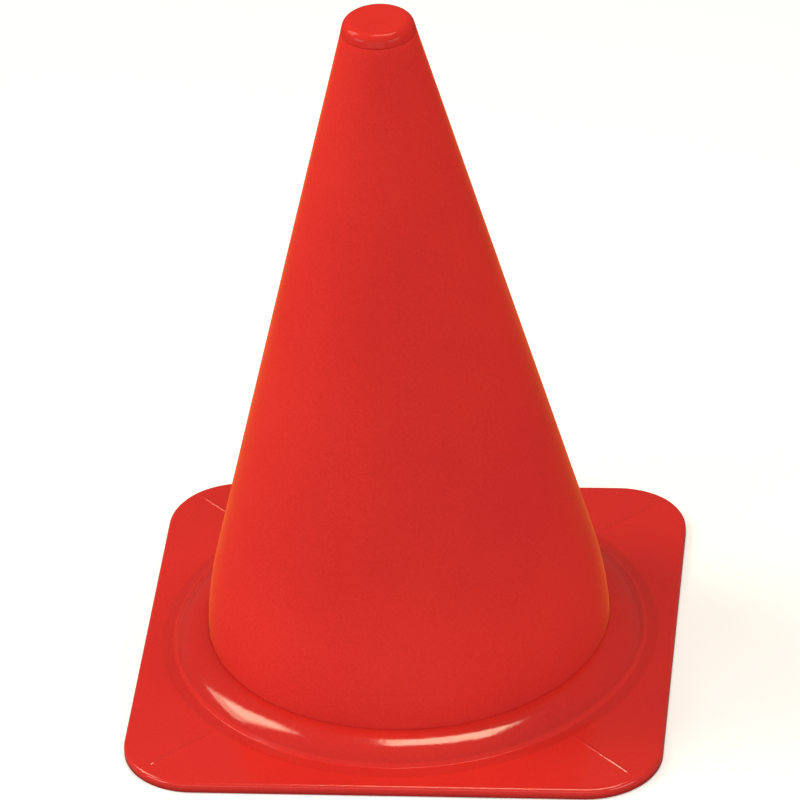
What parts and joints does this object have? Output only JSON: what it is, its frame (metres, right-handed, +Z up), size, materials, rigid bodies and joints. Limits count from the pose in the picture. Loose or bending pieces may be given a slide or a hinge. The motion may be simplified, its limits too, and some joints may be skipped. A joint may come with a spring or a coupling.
{
  "type": "traffic cone",
  "caption": "Square-based traffic cone: a hollow tapered upright with a capped tip, standing in a drop-over base with a raised round collar.",
  "frame": {"origin": "middle of the square footprint, on the floor under the tip", "axes": "+Z up along the cone's axis, +X and +Y along the sides of the square base"},
  "size_m": [0.225, 0.225, 0.305],
  "materials": {
    "upright_plastic": "fine matte grain",
    "base_plastic": "smooth satin gloss",
    "cap_plastic": "smooth satin gloss"
  },
  "bodies": {
    "upright": {"cone_shell": "upright_plastic", "tip_cap": "cap_plastic"},
    "base": {"base_plate": "base_plastic"}
  },
  "joints": [
    {"name": "base_lift", "type": "slide", "parent": "upright", "child": "base", "axis": [0, 0, 1], "range_m": [0, 0.31]}
  ]
}
